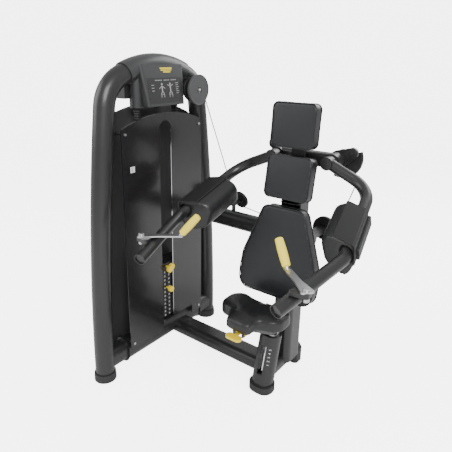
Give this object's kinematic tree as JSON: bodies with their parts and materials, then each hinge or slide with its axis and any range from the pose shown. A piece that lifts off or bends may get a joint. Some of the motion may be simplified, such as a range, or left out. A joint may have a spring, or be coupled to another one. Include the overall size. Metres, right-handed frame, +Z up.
{
  "type": "seated_deltoid_machine",
  "caption": "Seated deltoid (lateral raise) gym machine with a side weight-stack tower, swinging padded arms, adjustable saddle seat and three back pads",
  "frame": {"origin": "middle of the footprint's bounding box, on the floor", "axes": "+Z up, -Y the way the user faces, +X the user's left; the weight tower stands at -X"},
  "size_m": [1.0876, 0.872, 1.48],
  "materials": {
    "frame": "satin",
    "crown": "satin",
    "smoked": "satin",
    "cover_grey": "satin",
    "rubber": "matte",
    "iron": "satin",
    "chrome": "polished",
    "steel": "brushed",
    "cable": "satin",
    "pulley": "satin",
    "vinyl": "satin",
    "moulded": "satin",
    "board": "matte",
    "yellow": "gloss",
    "pale_yellow": "satin"
  },
  "bodies": {
    "root": {"tower_frame": "frame", "crossbar": "frame", "stack_shroud": "frame", "crown_cover": "crown", "placard_housing": "crown", "front_cover": "smoked", "rear_cover": "cover_grey", "cover_screws": "steel", "cover_stays": "frame", "weight_plates_resting": "iron", "guide_rods": "chrome", "stack_bumpers": "rubber", "rod_bellows": "rubber", "rod_sleeves": "crown", "top_bridge": "frame", "stack_cable": "cable", "main_cable": "cable", "front_column": "frame", "base_beam": "frame", "upright": "frame", "link_tube": "frame", "rubber_feet": "rubber", "crossbeam": "frame", "pulley_disc": "crown", "pulley_brackets": "frame", "back_pad": "vinyl", "mid_pad": "vinyl", "head_pad": "vinyl", "pad_spine": "frame", "pad_boards": "board", "gas_spring": "chrome"},
    "lifted_stack": {"weight_plates_lifted": "iron", "head_plate": "iron", "selector_rod": "chrome"},
    "selector_pin": {"selector_pin": "yellow"},
    "increment_knob": {"increment_knob": "yellow"},
    "stack_pulley": {"stack_pulley": "pulley"},
    "top_pulley": {"top_pulley": "pulley"},
    "low_pulley": {"low_pulley": "pulley"},
    "back_pulley": {"back_pulley": "pulley"},
    "seat": {"seat_pad": "moulded", "seat_tube": "steel", "seat_carriage": "frame"},
    "seat_lever": {"seat_lever": "yellow"},
    "left_arm": {"left_arm_tube": "frame", "left_arm_shaft": "steel", "left_arm_drum": "pulley", "left_cam_plate": "frame", "left_arm_pad": "moulded", "left_pad_shell": "board"},
    "right_arm": {"right_arm_tube": "frame", "right_arm_shaft": "steel", "right_arm_drum": "pulley", "right_cam_plate": "frame", "right_arm_pad": "moulded", "right_pad_shell": "board"},
    "left_handle": {"left_handle_bar": "steel", "left_grip": "pale_yellow"},
    "right_handle": {"right_handle_bar": "steel", "right_grip": "pale_yellow"}
  },
  "joints": [
    {"name": "left_arm_swing", "type": "hinge", "parent": "root", "child": "left_arm", "pos_m": [0.26418, 0.34202, 1.045], "axis": [0, -1, 0], "range_deg": [0, 80]},
    {"name": "right_arm_swing", "type": "hinge", "parent": "root", "child": "right_arm", "pos_m": [-0.00182, 0.34202, 1.045], "axis": [0, -1, 0], "range_deg": [-80, 0]},
    {"name": "stack_lift", "type": "slide", "parent": "root", "child": "lifted_stack", "axis": [0, 0, 1], "range_m": [0, 0.1178], "deforming": ["stack_cable"]},
    {"name": "selector_pin_pull", "type": "slide", "parent": "lifted_stack", "child": "selector_pin", "axis": [1, 0, 0], "range_m": [0, 0.105]},
    {"name": "increment_turn", "type": "hinge", "parent": "lifted_stack", "child": "increment_knob", "pos_m": [-0.40682, -0.00548, 0.4574], "axis": [1, 0, 0], "range_deg": [0, 90]},
    {"name": "stack_pulley_turn", "type": "hinge", "parent": "root", "child": "stack_pulley", "pos_m": [-0.46975, 0.03142, 1.33287], "axis": [0.9711, -0.2387, 0], "range_deg": [0, 129.73]},
    {"name": "top_pulley_turn", "type": "hinge", "parent": "root", "child": "top_pulley", "pos_m": [-0.42606, 0.1927, 1.31627], "axis": [0.9686, -0.2368, 0.0757], "range_deg": [0, 129.73]},
    {"name": "low_pulley_turn", "type": "hinge", "parent": "root", "child": "low_pulley", "pos_m": [-0.2858, 0.41488, 0.74028], "axis": [0.0688, 0.953, 0.2949], "range_deg": [0, 168.5]},
    {"name": "back_pulley_turn", "type": "hinge", "parent": "root", "child": "back_pulley", "pos_m": [0.20295, 0.409, 0.69663], "axis": [0.0364, 0.9993, 0.0061], "range_deg": [0, 129.73]},
    {"name": "seat_height", "type": "slide", "parent": "root", "child": "seat", "axis": [0, 0.2419, 0.9703], "range_m": [0, 0.04]},
    {"name": "seat_lever_pull", "type": "hinge", "parent": "seat", "child": "seat_lever", "pos_m": [0.13118, -0.16798, 0.39], "axis": [1, 0, 0], "range_deg": [-14, 0], "stiffness_Nm_per_rad": 4},
    {"name": "left_handle_swivel", "type": "hinge", "parent": "left_arm", "child": "left_handle", "pos_m": [0.49718, -0.35198, 0.779], "axis": [0, 0, 1], "range_deg": [-5, 15]},
    {"name": "right_handle_swivel", "type": "hinge", "parent": "right_arm", "child": "right_handle", "pos_m": [-0.23482, -0.35198, 0.779], "axis": [0, 0, -1], "range_deg": [-5, 15]}
  ],
  "couplings": [
    {"joint": "right_arm_swing", "follows": "left_arm_swing", "ratio": -1},
    {"joint": "stack_lift", "follows": "left_arm_swing", "m_per_rad": 0.084},
    {"joint": "stack_pulley_turn", "follows": "left_arm_swing", "ratio": 1.6154},
    {"joint": "top_pulley_turn", "follows": "left_arm_swing", "ratio": 1.6154},
    {"joint": "low_pulley_turn", "follows": "left_arm_swing", "ratio": 2.1},
    {"joint": "back_pulley_turn", "follows": "left_arm_swing", "ratio": 1.6154}
  ]
}
